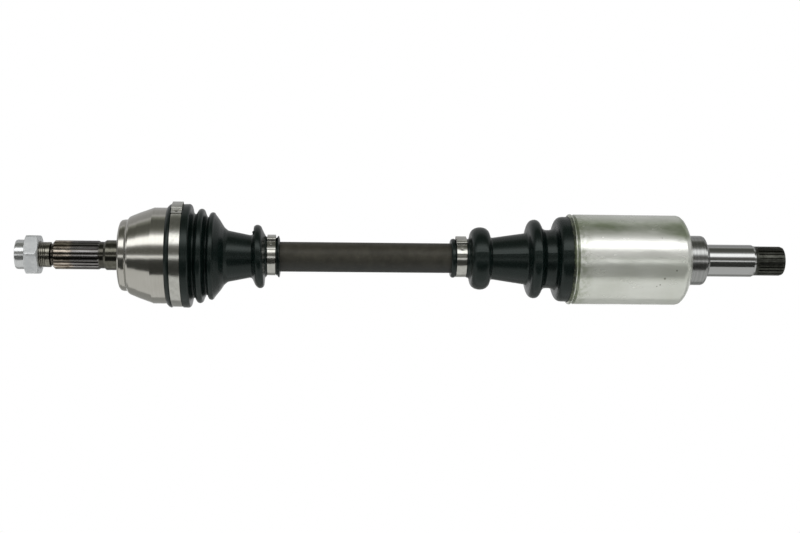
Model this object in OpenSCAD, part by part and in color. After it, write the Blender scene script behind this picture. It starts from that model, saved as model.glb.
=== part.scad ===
// Front-wheel-drive half shaft: fixed ball joint at the wheel, plunging tripod joint at the gearbox.
// The axle lies along X with the hub nut at -X. The origin is on the axis, about half way along.

/* [Hub stub] */
// Width across the flats of the hub nut
nut_af = 30; // [28:0.5:32]
// Radius of the nut's thin staking collar
nut_collar_r = 11.65; // [11.2:0.05:12.2]
// Outer radius of the M20 thread
thread_r = 9.95; // [9.6:0.05:10]
// Outer radius of the hub spline
hub_spline_r = 11.4; // [11.2:0.05:11.6]
// Number of teeth on the hub spline
hub_spline_n = 21; // [16:1:26]
// Radius of the plain seat behind the hub spline
pilot_r = 11.9; // [11.7:0.05:12.4]

/* [Outer ball joint] */
// Centre of the ball joint along the axle
oj_x = -190; // [-191:0.5:-189]
// Outer radius of the bell
bell_r = 38.05; // [37.8:0.05:38.1]
// Radius of each drive ball
ball_r = 7.54; // [7.2:0.02:7.6]
// Pitch radius of the ball circle
ball_pitch_r = 26; // [25.8:0.1:26.2]
// Clearance between a ball and the bell's tracks
track_gap = 1.55; // [1.5:0.05:1.7]
// Clearance between a ball and the race's tracks
race_gap = 1.2; // [1.15:0.05:1.4]

/* [Outer boot] */
// Wall of the rubber boots
boot_wall = 2.0; // [1.6:0.1:2.2]
// Radius of the lip beside the large clamp
oboot_lip_r = 41.1; // [40.8:0.1:41.6]
// Radius of the ridge next to the lip
oboot_ridge_b = 37.5; // [36.5:0.1:38.5]
// Radius of the ridge at the top of the cone
oboot_ridge_c = 34.8; // [34:0.1:35.4]
// Radius of the bead near the small end
oboot_bead_r = 25.2; // [24:0.1:26]

/* [Shaft bar] */
// Radius of the bar
bar_r = 11.9; // [11.6:0.05:12]
// Radius of the neck beside the ball joint
neck_o_r = 10.6; // [10.2:0.1:10.8]
// Radius of the neck beside the tripod joint
neck_i_r = 9.8; // [9.6:0.1:10]

/* [Inner boot] */
// Radius of the small bulb
iboot_bulb1_r = 25; // [24:0.1:26]
// Radius of the middle bulb
iboot_bulb2_r = 31.8; // [31:0.1:32.4]
// Radius of the large bulb that enters the can
iboot_bulb3_r = 34.3; // [33.8:0.1:34.4]

/* [Inner tripod joint] */
// Centre of the spider along the axle at rest
ij_x = 173.5; // [172:0.5:175]
// Outer radius of the sheet-metal can
can_r = 36.2; // [36.1:0.05:36.4]
// Radius of the collar behind the can
collar_r = 20; // [19.6:0.1:20]
// Radius of each spherical roller
roller_r = 15.2; // [15:0.1:15.3]
// Distance from the axis to each roller's centre
trunnion_pitch = 18.5; // [18.3:0.1:18.6]
// Needles behind each roller
needle_n = 18; // [12:1:18]

/* [Gearbox stub] */
// Radius of the ground seal journal
journal_r = 13; // [12.8:0.05:13.2]
// Outer radius of the gearbox spline
diff_spline_r = 11.85; // [11.7:0.05:12]
// Number of teeth on the gearbox spline
diff_spline_n = 22; // [18:1:26]

/* [Hidden] */

$fn = 72;

// stations along the axle
nut_x0 = -307.9;
nut_hex_x0 = -299.8;
nut_x1 = -289.3;
stub_x0 = -306.4;
bell_x0 = -227.2;
bell_x1 = -175;
cage_hw = 10.5;
race_hw = 11;
race_ball_r = 22.7;
cage_in_r = 23.1;
cage_out_r = 28.2;
cavity_r = 28.6;
race_bore_r = 9.4;
oclamp_x0 = -185.4;
oclamp_x1 = -177.1;
osmall_x0 = -111.2;
osmall_x1 = -104.5;
ismall_x0 = 39.2;
ismall_x1 = 47.4;
tulip_x0 = 136.5;
tulip_x1 = 227.8;
tulip_bore_x1 = 217.5;
tulip_r = 35.05;
end_x1 = 306.3;
hub_spline_x0 = -278.7;
hub_spline_x1 = -243.2;
diff_spline_x0 = 283.1;
spider_hw = 10;
trunnion_r = 6.6;
needle_r = 1.2;
needle_pitch = trunnion_r + 0.08 + needle_r;
roller_bore = needle_pitch + needle_r + 0.07;
roller_hw = 5.5;
// The whole axle stands turned about X so that one trunnion points up
trunnion_angles = [0, 120, 240];

// A solid of revolution about X from [radius, x] points
module lathe() { rotate([0, 90, 0]) rotate_extrude($fn = 96) children(); }
// A cylinder along X
module xcyl(x0, x1, r) { translate([x0, 0, 0]) rotate([0, 90, 0]) cylinder(h = x1 - x0, r = r, $fn = 96); }
module xcone(x0, x1, r0, r1) { translate([x0, 0, 0]) rotate([0, 90, 0]) cylinder(h = x1 - x0, r1 = r0, r2 = r1, $fn = 96); }
module slab(x0, x1, r) { translate([x0, -r, -r]) cube([x1 - x0, 2 * r, 2 * r]); }
// A wedge of a cross-section between two angles measured from +Z towards -Y
module wedge(x0, x1, r, a0, a1) {
    am = (a0 + a1) / 2;
    translate([x0, 0, 0]) rotate([90, 0, 90]) linear_extrude(height = x1 - x0)
        polygon([[0, 0], [-r * sin(a0), r * cos(a0)], [-r * sin(am) * 1.4, r * cos(am) * 1.4], [-r * sin(a1), r * cos(a1)]]);
}
// An arc of [radius, x] points round a centre
function arc(cr, cx, r, a0, a1, n) = [for (i = [0 : n]) let(a = a0 + (a1 - a0) * i / n) [cr + r * sin(a), cx - r * cos(a)]];
// Straight-sided grooves of a spline, cut from x0 to x1
module spline_grooves(x0, x1, r_out, depth, n) {
    w = PI * r_out / n;
    for (i = [0 : n - 1]) rotate([360 * i / n, 0, 0]) translate([x0, 0, 0])
        rotate([90, 0, 90]) linear_extrude(height = x1 - x0)
            polygon([[-w * 0.27, r_out - depth], [w * 0.27, r_out - depth], [w * 0.62, r_out + 0.4], [-w * 0.62, r_out + 0.4]]);
}
// A ring with a rectangular section
module xring(x0, x1, ri, ro) { difference() { xcyl(x0, x1, ro); xcyl(x0 - 1, x1 + 1, ri); } }
// An ear clamp: closed band, second lap and a hollow ear
module ear_clamp(x0, x1, ri, ro, ear_h, a0, a1, lap_a) {
    t = ro - ri;
    xring(x0, x1, ri, ro);
    intersection() {
        xring(x0 + 0.15, x1 - 0.15, ro - 0.2, ro + 0.65);
        wedge(x0, x1, ro * 1.6, a0 - 22, lap_a);
    }
    difference() {
        intersection() {
            xring(x0 + 0.1, x1 - 0.1, ro - 0.2, ro + ear_h);
            wedge(x0, x1, ro * 1.6, a0, a1);
        }
        intersection() {
            xring(x0 - 1, x1 + 1, ro + 0.65, ro + ear_h - t);
            wedge(x0 - 1, x1 + 1, ro * 1.5, a0 + 57 * t / ro, a1 - 57 * t / ro);
        }
    }
}

// ---------------------------------------------------------------- shaft body
module shaft_bar() color("#2a2622") difference() {
    lathe() polygon([[0, oj_x - 15.4], [8.6, oj_x - 15.4], [race_bore_r - 0.03, oj_x - 14.6],
        [race_bore_r - 0.03, oj_x + race_hw + 0.1], [neck_o_r, oj_x + race_hw + 0.1],
        [neck_o_r, oj_x + 35], [bar_r, oj_x + 41],
        [bar_r, ij_x - 64], [neck_i_r, ij_x - 58],
        [neck_i_r, ij_x - spider_hw - 0.1], [8.97, ij_x - spider_hw - 0.1],
        [8.97, ij_x + 14.2], [8.2, ij_x + 15], [0, ij_x + 15]]);
    // circlip grooves
    xring(oj_x - 13.2, oj_x - 11.6, 8.5, 12);
    xring(ij_x + 10.5, ij_x + 12.1, 8.1, 12);
}
module inner_race() color("#8d8f91") difference() {
    lathe() intersection() {
        translate([0, oj_x]) circle(r = race_ball_r, $fn = 96);
        translate([race_bore_r, oj_x - race_hw]) square([20, 2 * race_hw]);
    }
    tracks(44, race_gap);
}
// Six arcs of a ring cut the ball tracks, each in its own plane through the axle
module tracks(half, gap) {
    for (i = [0 : 5]) translate([oj_x, 0, 0]) rotate([60 * i, 0, 0]) rotate([0, 0, 90 - half])
        rotate_extrude(angle = 2 * half, $fn = 96) translate([ball_pitch_r, 0]) circle(r = ball_r + gap, $fn = 48);
}
module snap_ring(x0, x1, ri, ro, gap) {
    difference() {
        xring(x0, x1, ri, ro);
        translate([x0 - 1, -gap / 2, 0]) cube([x1 - x0 + 2, gap, ro + 1]);
    }
}
module race_circlip() color("#6f7174") snap_ring(oj_x - 12.9, oj_x - 11.7, 8.6, 11.4, 4);
module spider_circlip() color("#6f7174") snap_ring(ij_x + 10.6, ij_x + 11.9, 8.2, 11.0, 4);
module outer_small_clamp() color("#c9cabf") ear_clamp(osmall_x0, osmall_x1, 14.0, 14.9, 2.9, -16, 36, 69);
module inner_small_clamp() color("#c9cabf") ear_clamp(ismall_x0, ismall_x1, 14.2, 15.1, 2.8, -6, 45, 79);

module on_trunnion(i) translate([ij_x, 0, 0]) rotate([trunnion_angles[i], 0, 0]) children();
module tripod_spider() color("#85878a") difference() {
    union() {
        xring(ij_x - spider_hw, ij_x + spider_hw, 5, 12.6);
        for (i = [0 : 2]) on_trunnion(i) cylinder(h = 25.4, r = trunnion_r, $fn = 64);
    }
    xcyl(ij_x - 20, ij_x + 20, 9);
    for (i = [0 : 2]) on_trunnion(i) translate([0, 0, 24.1]) difference() {
        cylinder(h = 0.9, r = 9, $fn = 64);
        translate([0, 0, -1]) cylinder(h = 3, r = trunnion_r - 0.6, $fn = 64);
    }
}
module roller_clip(i) on_trunnion(i) translate([0, 0, 24.15]) difference() {
    cylinder(h = 0.8, r = 9, $fn = 64);
    translate([0, 0, -1]) cylinder(h = 3, r = trunnion_r - 0.55, $fn = 64);
    translate([-2, 0, -1]) cube([4, 12, 3]);
}
module roller_clip_1() color("#5f6164") roller_clip(0);
module roller_clip_2() color("#5f6164") roller_clip(1);
module roller_clip_3() color("#5f6164") roller_clip(2);

// ---------------------------------------------------------------- hub side
module outer_joint_housing() color("#9a988c") difference() {
    lathe() polygon([[0, stub_x0], [thread_r - 1.2, stub_x0], [thread_r, stub_x0 + 1.2],
        [thread_r, -280.9], [8.45, -280.1], [8.45, -279.1], [hub_spline_r - 1.4, hub_spline_x0],
        [hub_spline_r, hub_spline_x0 + 1.4], [hub_spline_r, hub_spline_x1 - 0.4],
        [10.6, -242.1], [10.6, -239.2], [pilot_r, -237.4], [pilot_r, bell_x0],
        [25.2, bell_x0 + 0.3], [26.9, bell_x0 + 0.9], [27.9, bell_x0 + 2], [28.3, -223.4], [28.35, -221.1],
        [30.6, -219.2], [31.3, -218], [33.95, -211.5], [bell_r - 0.15, -200.6], [bell_r, -200.2],
        [bell_r, -183.4], [bell_r - 0.8, -182.8], [bell_r - 0.8, -179.8], [bell_r, -179.2],
        [bell_r, bell_x1 - 0.6], [bell_r - 0.6, bell_x1], [0, bell_x1]]);
    // ball cavity, mouth and tracks
    lathe() intersection() {
        translate([0, oj_x]) circle(r = cavity_r, $fn = 96);
        translate([0, oj_x - 30]) square([30, 37]);
    }
    xcone(oj_x + 6.9, bell_x1 + 1, 27.74, 31.4);
    tracks(42, track_gap);
    // splined part of the stub
    spline_grooves(hub_spline_x0 - 1, hub_spline_x1 + 0.4, hub_spline_r, 1.1, hub_spline_n);
    // centre drilling and the slot that the nut's collar is staked into
    xcone(stub_x0 - 0.1, stub_x0 + 5, 3.2, 0.4);
    translate([stub_x0 - 1, -1.75, thread_r - 2.6]) cube([9, 3.5, 5]);
}
module outer_large_clamp() color("#c6c6b8") ear_clamp(oclamp_x0, oclamp_x1, 39.6, 40.5, 2.8, 6, 28, 36);
module hub_nut() color("#b9b8b0") difference() {
    union() {
        intersection() {
            translate([nut_hex_x0, 0, 0]) rotate([0, 90, 0]) rotate([0, 0, 30])
                cylinder(h = nut_x1 - nut_hex_x0, r = nut_af / 2 / cos(30), $fn = 6);
            lathe() polygon([[0, nut_hex_x0], [15.2, nut_hex_x0], [17.6, nut_hex_x0 + 1.3],
                [17.6, nut_x1 - 1.6], [15.0, nut_x1], [0, nut_x1]]);
        }
        lathe() polygon([[0, nut_x0], [nut_collar_r - 1.1, nut_x0], [nut_collar_r - 0.35, nut_x0 + 0.5],
            [nut_collar_r, nut_x0 + 1.6], [nut_collar_r, nut_hex_x0 + 0.5], [0, nut_hex_x0 + 0.5]]);
    }
    xcyl(nut_x0 - 1, nut_x1 + 1, thread_r + 0.05);
    // lead-in chamfer
    xcone(nut_x1 - 0.8, nut_x1 + 0.2, thread_r, thread_r + 1);
}

// ---------------------------------------------------------------- outer boot
module outer_boot() color("#161819") difference() {
    lathe() polygon(concat(
        [[bell_r + 0.08, -189.4], [38.8, -189.4], [40.5, -187.8], [oboot_lip_r, -186.6], [oboot_lip_r, -185.7],
         [39.5, -185.6], [39.5, -176.9], [oboot_lip_r, -176.8]],
        arc(oboot_lip_r - 2.2, -172.9, 2.2, 90, 170, 4),
        [[33.9, -168.9], [33.3, -168.1], [33.7, -167.3]],
        arc(oboot_ridge_b - 2.7, -163.5, 2.7, 20, 160, 5),
        [[31.4, -159.2], [30.8, -158.3], [31.4, -157.5]],
        arc(oboot_ridge_c - 2.5, -154.6, 2.5, 30, 130, 4),
        [[27.8, -148.4], [22.6, -145.2], [21.0, -143.7], [20.3, -142], [17, -124.9], [17.2, -123.4]],
        arc(oboot_bead_r - 3.5, -117.9, 3.5, 10, 170, 7),
        [[17.0, -113.0], [16, -112.2], [15.6, -111.4], [13.95, -111.3], [13.95, -104.4], [16.2, -104.3],
         [16.4, -103.4], [16.2, -101.6], [15.6, -101.2], [bar_r - 1, -101.2], [bar_r - 1, -189.4]]));
    // inside: over the bell, then one wall in from the outside
    lathe() polygon(concat(
        [[0, -192], [bell_r + 0.08, -192], [bell_r + 0.08, -174.2], [37.4, -172.8]],
        [[33.9 - boot_wall, -169.6], [33.3 - boot_wall, -168.1], [33.7 - boot_wall, -166.7]],
        arc(oboot_ridge_b - 2.7, -163.5, 2.7 - boot_wall, 20, 160, 2),
        [[31.4 - boot_wall, -159.8], [30.8 - boot_wall, -158.3], [31.4 - boot_wall, -156.9]],
        arc(oboot_ridge_c - 2.5, -154.6, 2.5 - boot_wall, 30, 130, 2),
        [[26.3, -149.6], [21, -146.6], [18.8, -144], [15, -124.9], [15.2, -122.6]],
        arc(oboot_bead_r - 3.5, -117.9, 1.5, 10, 170, 3),
        [[15.0, -114], [14, -112.9], [bar_r + 0.06, -112.2], [bar_r + 0.06, -90], [0, -90]]));
}
module outer_grease() color("#4b4237") lathe() polygon([[13, -173.6], [28.5, -173.6], [29.2, -170], [29.2, -161.4], [26.6, -158.4], [13, -156]]);

// ---------------------------------------------------------------- cage and balls
module ball_cage() color("#7d7f82") difference() {
    lathe() intersection() {
        translate([0, oj_x]) difference() {
            circle(r = cage_out_r, $fn = 96);
            circle(r = cage_in_r, $fn = 96);
        }
        translate([15, oj_x - cage_hw]) square([20, 2 * cage_hw]);
    }
    for (i = [0 : 5]) translate([oj_x, 0, 0]) rotate([60 * i, 0, 0]) rotate([-90, 0, 0])
        cylinder(h = 40, r = ball_r + 0.12, $fn = 64);
}
module ball(i) translate([oj_x, 0, 0]) rotate([60 * i, 0, 0]) translate([0, ball_pitch_r, 0]) sphere(r = ball_r, $fn = 48);
module ball_1() color("#b4b6b8") ball(0);
module ball_2() color("#b4b6b8") ball(1);
module ball_3() color("#b4b6b8") ball(2);
module ball_4() color("#b4b6b8") ball(3);
module ball_5() color("#b4b6b8") ball(4);
module ball_6() color("#b4b6b8") ball(5);

// ---------------------------------------------------------------- inner boot
module inner_boot() color("#17191a") difference() {
    b1 = iboot_bulb1_r;
    b2 = iboot_bulb2_r;
    b3 = iboot_bulb3_r;
    lathe() polygon(
        [[14.6, 35.1], [15.5, 36.2], [15.6, 37.7], [14.6, 39.0], [14.15, 39.1], [14.15, 47.5], [15.3, 47.6], [15.7, 49.4],
         [17.5, 50.4], [b1 - 4.4, 51.1], [b1 - 2.4, 52.2], [b1 - 0.8, 54.5], [b1 - 0.1, 57.2], [b1, 59.3], [b1 - 0.2, 61.2],
         [b1 - 0.9, 63.2], [b1 - 2.7, 65.3], [b1 - 5, 66.1], [17.6, 66.9], [16.9, 67.8], [16.8, 69.2],
         [20.6, 94.2], [21.3, 95.7], [b2 - 7.8, 96.5], [b2 - 4.8, 97], [b2 - 2.8, 97.8], [b2 - 1.3, 98.8], [b2 - 0.4, 100.3],
         [b2, 102.2], [b2 - 0.1, 103.6], [b2 - 0.6, 104.9], [b2 - 1.8, 106], [b2 - 3.4, 107], [b2 - 5.3, 107.8], [25.0, 108.8],
         [24.0, 110.1], [23.6, 111.6], [23.6, 114.8], [24, 116.6], [24.6, 117.8], [25.8, 118.7], [b3 - 4.3, 119.3],
         [b3 - 2.3, 120.2], [b3 - 1, 121.4], [b3 - 0.3, 122.8], [b3, 124.6],
         [b3, 134.5], [34.9, 134.6], [34.9, tulip_x0 - 0.05], [bar_r - 1, tulip_x0 - 0.05], [bar_r - 1, 35.1]]);
    lathe() polygon(
        [[0, 20], [bar_r + 0.06, 20], [bar_r + 0.06, 48.8], [13.7, 50.6], [15, 52.3], [b1 - 5.6, 53], [b1 - 3.9, 54.2],
         [b1 - 2.5, 56], [b1 - 2, 58.4], [b1 - 2, 60.2], [b1 - 2.7, 62.2], [b1 - 4.1, 63.8], [b1 - 6.2, 64.4], [15.9, 65.2],
         [15, 66.6], [14.8, 69.2], [18.5, 94.9], [19.4, 97.2], [b2 - 7.9, 98.4], [b2 - 5.2, 98.9], [b2 - 3.5, 99.6],
         [b2 - 2.4, 100.9], [b2 - 2, 102.3], [b2 - 2.2, 103.4], [b2 - 3.1, 104.5], [b2 - 4.6, 105.3], [b2 - 6.5, 106.1],
         [23.4, 107.4], [22, 109.5], [21.6, 111.3], [21.6, 115.1], [22.2, 117.6], [23.6, 120.3], [b3 - 5, 121.2],
         [b3 - 3.1, 122.4], [b3 - 2.2, 124.1], [b3 - boot_wall, 125.6], [b3 - boot_wall, 134.2], [29.4, 134.2], [29.4, 150], [0, 150]]);
}
module inner_grease() color("#4b4237") lathe() polygon([[13, 121.9], [26.5, 121.9], [30.4, 124], [31.4, 125.8], [31.4, 131], [28.4, 133.6], [13, 133.6]]);

// ---------------------------------------------------------------- gearbox side
module inner_joint_housing() color("#8b8d8c") difference() {
    lathe() polygon([[0, tulip_x0], [tulip_r - 0.5, tulip_x0], [tulip_r, tulip_x0 + 0.5], [tulip_r, 217.7],
        [34.5, 218.7], [32.6, 221], [30.7, 222.2], [28.7, 223.3], [25.9, 224.6], [21.7, 225.9], [19.9, 226.4],
        [collar_r - 0.1, tulip_x1], [collar_r, tulip_x1 + 0.1], [collar_r, 238.6], [19.5, 240.1], [18.4, 241],
        [16.2, 241.8], [13.6, 242.9], [journal_r, 243.6], [journal_r, 280.3], [journal_r - 0.7, 281.9], [diff_spline_r, diff_spline_x0],
        [diff_spline_r, 303.8], [11.1, end_x1 - 0.3], [10.6, end_x1], [0, end_x1]]);
    // central bore with a flared mouth, and the three roller tracks
    xcyl(tulip_x0 - 1, tulip_bore_x1, 21);
    xcone(tulip_x0 - 0.01, tulip_x0 + 15, 27.2, 21);
    for (i = [0 : 2]) rotate([trunnion_angles[i], 0, 0]) intersection() {
        union() {
            translate([0, 0, 17.2]) xcyl(tulip_x0 - 1, tulip_bore_x1, roller_r + 0.7);
            translate([0, 0, 18.6]) xcyl(tulip_x0 - 1, tulip_bore_x1, roller_r + 0.7);
            translate([tulip_x0 - 1, -roller_r - 0.7, 17.2]) cube([tulip_bore_x1 - tulip_x0 + 1, 2 * roller_r + 1.4, 1.4]);
        }
        translate([tulip_x0 - 1, -20, 0]) cube([100, 40, 27.2]);
    }
    spline_grooves(diff_spline_x0 + 1.4, end_x1 + 1, diff_spline_r, 1.0, diff_spline_n);
    // centre drilling
    xcone(end_x1 - 4, end_x1 + 0.1, 0.4, 2.6);
}
module housing_can() color("#b7b8ad") difference() {
    lathe() polygon(concat([[34.6, 128.4]],
        arc(35.2, 130.3, 1.25, 10, 160, 5),
        [[can_r - 0.45, 132.4], [can_r - 0.45, 133], [can_r, 134.2], [can_r, 218],
         [35.7, 219.3], [33.5, 221.9], [31.5, 223.2], [29.4, 224.4], [26.3, 225.8], [22, 227.1], [20.6, 227.6], [20.2, 227.75], [20.05, 227.4], [20.05, 220]]));
    lathe() polygon([[0, 120], [34.45, 120], [34.45, 133.2], [tulip_r + 0.05, 134.4], [tulip_r + 0.05, 217.75], [34.55, 218.75], [32.65, 221.05], [30.75, 222.25],
        [28.75, 223.35], [25.93, 224.65], [21.72, 225.95], [20.06, 226.43], [20.06, 240], [0, 240]]);
}

// ---------------------------------------------------------------- rollers
module roller(i) on_trunnion(i) translate([0, 0, trunnion_pitch]) difference() {
    intersection() {
        sphere(r = roller_r, $fn = 96);
        translate([-20, -20, -roller_hw]) cube([40, 40, 2 * roller_hw]);
    }
    translate([0, 0, -20]) cylinder(h = 40, r = roller_bore, $fn = 64);
}
module needles(i) on_trunnion(i) translate([0, 0, trunnion_pitch - roller_hw + 0.2])
    for (k = [0 : needle_n - 1]) rotate([0, 0, 360 * k / needle_n]) translate([needle_pitch, 0, 0])
        cylinder(h = 2 * roller_hw - 0.4, r = needle_r, $fn = 24);
module roller_1() color("#9fa1a3") roller(0);
module roller_2() color("#9fa1a3") roller(1);
module roller_3() color("#9fa1a3") roller(2);
module needles_1() color("#c0c2c4") needles(0);
module needles_2() color("#c0c2c4") needles(1);
module needles_3() color("#c0c2c4") needles(2);

shaft_bar();
inner_race();
race_circlip();
outer_small_clamp();
inner_small_clamp();
tripod_spider();
spider_circlip();
roller_clip_1();
roller_clip_2();
roller_clip_3();
outer_joint_housing();
outer_large_clamp();
hub_nut();
outer_boot();
outer_grease();
ball_cage();
ball_1();
ball_2();
ball_3();
ball_4();
ball_5();
ball_6();
inner_boot();
inner_grease();
inner_joint_housing();
housing_can();
roller_1();
roller_2();
roller_3();
needles_1();
needles_2();
needles_3();
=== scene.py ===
import math

import bmesh
import bpy
import numpy as np
from mathutils import Matrix, Vector


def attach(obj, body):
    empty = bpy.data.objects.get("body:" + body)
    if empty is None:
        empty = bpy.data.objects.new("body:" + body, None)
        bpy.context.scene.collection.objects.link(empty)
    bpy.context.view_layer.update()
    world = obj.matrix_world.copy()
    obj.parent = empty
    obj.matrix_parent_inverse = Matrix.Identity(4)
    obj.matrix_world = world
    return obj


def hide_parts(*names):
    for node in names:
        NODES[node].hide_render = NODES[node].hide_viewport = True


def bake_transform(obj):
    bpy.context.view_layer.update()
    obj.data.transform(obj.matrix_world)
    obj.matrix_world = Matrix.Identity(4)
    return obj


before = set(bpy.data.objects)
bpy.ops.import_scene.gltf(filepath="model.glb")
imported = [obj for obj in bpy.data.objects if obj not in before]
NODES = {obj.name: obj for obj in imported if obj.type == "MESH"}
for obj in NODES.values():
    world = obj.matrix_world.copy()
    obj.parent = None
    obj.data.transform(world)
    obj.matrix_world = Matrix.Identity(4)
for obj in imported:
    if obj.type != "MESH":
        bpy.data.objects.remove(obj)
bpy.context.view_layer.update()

MM = 0.001
D = bpy.data
scene = bpy.context.scene


# ------------------------------------------------------------------ node helpers
class Tree:
    """Short names for building a material's nodes. Lengths are in millimetres."""

    def __init__(self, name):
        self.mat = D.materials.new(name)
        self.mat.use_nodes = True
        self.nt = self.mat.node_tree
        self.nt.nodes.clear()
        self.out = self.nt.nodes.new("ShaderNodeOutputMaterial")
        self.bsdf = self.nt.nodes.new("ShaderNodeBsdfPrincipled")
        self.nt.links.new(self.bsdf.outputs[0], self.out.inputs["Surface"])
        tc = self.nt.nodes.new("ShaderNodeTexCoord")
        m = self.nt.nodes.new("ShaderNodeVectorMath")
        m.operation = "SCALE"
        m.inputs["Scale"].default_value = 1000.0
        self.nt.links.new(tc.outputs["Object"], m.inputs[0])
        self.p = m.outputs[0]
        s = self.nt.nodes.new("ShaderNodeSeparateXYZ")
        self.nt.links.new(self.p, s.inputs[0])
        self.x, self.y, self.z = s.outputs

    def link(self, a, b):
        if isinstance(a, (int, float)):
            b.default_value = a
        elif isinstance(a, (tuple, list)):
            b.default_value = (*a, 1.0) if len(a) == 3 and len(b.default_value) == 4 else a
        else:
            self.nt.links.new(a, b)

    def set(self, **kw):
        for k, v in kw.items():
            self.link(v, self.bsdf.inputs[k.replace("_", " ")])

    def math(self, op, a, b=0.0, c=0.0, clamp=False):
        n = self.nt.nodes.new("ShaderNodeMath")
        n.operation = op
        n.use_clamp = clamp
        for i, v in enumerate((a, b, c)):
            self.link(v, n.inputs[i])
        return n.outputs[0]

    def range(self, v, a, b, c=0.0, d=1.0, smooth=False):
        n = self.nt.nodes.new("ShaderNodeMapRange")
        n.interpolation_type = "SMOOTHSTEP" if smooth else "LINEAR"
        for i, t in enumerate((v, a, b, c, d)):
            self.link(t, n.inputs[i])
        return n.outputs[0]

    def scaled(self, sx, sy, sz, offset=(0, 0, 0)):
        n = self.nt.nodes.new("ShaderNodeMapping")
        n.inputs["Scale"].default_value = (sx, sy, sz)
        n.inputs["Location"].default_value = offset
        self.nt.links.new(self.p, n.inputs[0])
        return n.outputs[0]

    def noise(self, scale, detail=3.0, rough=0.55, vec=None, dist=0.0):
        n = self.nt.nodes.new("ShaderNodeTexNoise")
        self.nt.links.new(self.p if vec is None else vec, n.inputs["Vector"])
        n.inputs["Scale"].default_value = scale
        n.inputs["Detail"].default_value = detail
        n.inputs["Roughness"].default_value = rough
        n.inputs["Distortion"].default_value = dist
        return n.outputs["Fac"]

    def line_noise(self, value, scale, detail=2.0):
        n = self.nt.nodes.new("ShaderNodeTexNoise")
        n.noise_dimensions = "1D"
        self.link(value, n.inputs["W"])
        n.inputs["Scale"].default_value = scale
        n.inputs["Detail"].default_value = detail
        return n.outputs["Fac"]

    def voronoi(self, scale, vec=None, feature="F1"):
        n = self.nt.nodes.new("ShaderNodeTexVoronoi")
        n.feature = feature
        self.nt.links.new(self.p if vec is None else vec, n.inputs["Vector"])
        n.inputs["Scale"].default_value = scale
        return n.outputs["Distance"]

    def mix(self, fac, a, b, mode="MIX"):
        n = self.nt.nodes.new("ShaderNodeMix")
        n.data_type = "RGBA"
        n.blend_type = mode
        self.link(fac, n.inputs["Factor"])
        self.link(a, n.inputs[6])
        self.link(b, n.inputs[7])
        return n.outputs[2]

    def mixf(self, fac, a, b):
        n = self.nt.nodes.new("ShaderNodeMix")
        self.link(fac, n.inputs["Factor"])
        self.link(a, n.inputs[2])
        self.link(b, n.inputs[3])
        return n.outputs[0]

    def bump(self, height, dist, strength=1.0, normal=None):
        n = self.nt.nodes.new("ShaderNodeBump")
        n.inputs["Strength"].default_value = strength
        n.inputs["Distance"].default_value = dist * MM
        self.nt.links.new(height, n.inputs["Height"])
        if normal is not None:
            self.nt.links.new(normal, n.inputs["Normal"])
        return n.outputs[0]

    def radius(self):
        return self.math("SQRT", self.math("ADD", self.math("MULTIPLY", self.y, self.y), self.math("MULTIPLY", self.z, self.z)))


# ------------------------------------------------------------------ materials
def m_bell():
    t = Tree("bell_turned_steel")
    lines = t.line_noise(t.math("ADD", t.x, t.math("MULTIPLY", t.radius(), 0.7)), 1.3, 3.0)
    blot = t.noise(0.045, 4.0, 0.6)
    fac = t.math("ADD", t.math("MULTIPLY", lines, 0.5), t.math("MULTIPLY", blot, 0.5))
    col = t.mix(t.range(fac, 0.3, 0.72), (0.425, 0.412, 0.372), (0.515, 0.505, 0.468))
    # the stub's pilot and groove are darker and oily, and the spline carries a copper-brown stain
    oily = t.mix(t.range(t.noise(0.3, 3.0), 0.35, 0.7), (0.098, 0.096, 0.078), (0.155, 0.152, 0.128))
    stub = t.range(t.radius(), 12.1, 12.6)
    col = t.mix(stub, oily, col)
    spline_dark = t.mix(t.range(t.noise(0.5, 3.0, 0.6, vec=t.scaled(0.12, 1, 1)), 0.3, 0.7), (0.14, 0.135, 0.13), (0.34, 0.33, 0.33))
    patch_tone = t.mix(t.range(t.noise(0.42, 3.0, 0.6, vec=t.scaled(0.35, 1, 1)), 0.35, 0.66), (0.16, 0.13, 0.10), (0.66, 0.585, 0.50))
    edge = t.math("ADD", t.x, t.math("MULTIPLY", t.noise(0.3, 2.0), 9.0))
    col = t.mix(t.range(t.x, -243.2, -242.2), t.mix(t.range(edge, -262.5, -257.5, smooth=True), patch_tone, spline_dark), col)
    # the spline is darker towards the bottoms of its grooves
    deep = t.range(t.radius(), 10.35, 11.15, 1.0, 0.0)
    col = t.mix(t.math("MULTIPLY", t.math("MULTIPLY", deep, t.math("SUBTRACT", 1.0, stub)), 0.85), col, (0.045, 0.042, 0.036))
    # rust-brown freckles and a hand mark or two
    gate = t.math("MULTIPLY", t.range(t.voronoi(0.21), 0.04, 0.09, 1.0, 0.0), t.range(t.noise(0.06, 2.0), 0.55, 0.62))
    col = t.mix(gate, col, (0.12, 0.10, 0.07))
    rough = t.math("ADD", t.mixf(stub, 0.16, 0.145), t.math("MULTIPLY", t.math("SUBTRACT", t.noise(0.5, 4.0, 0.6), 0.5), 0.10))
    rough = t.math("ADD", rough, t.math("MULTIPLY", t.math("SUBTRACT", lines, 0.5), 0.06))
    t.set(Base_Color=col, Metallic=1.0, Roughness=rough)
    t.set(Normal=t.bump(lines, 0.006, 1.0, t.bump(t.noise(0.3, 2.0), 0.008, 1.0)))
    return t.mat


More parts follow.
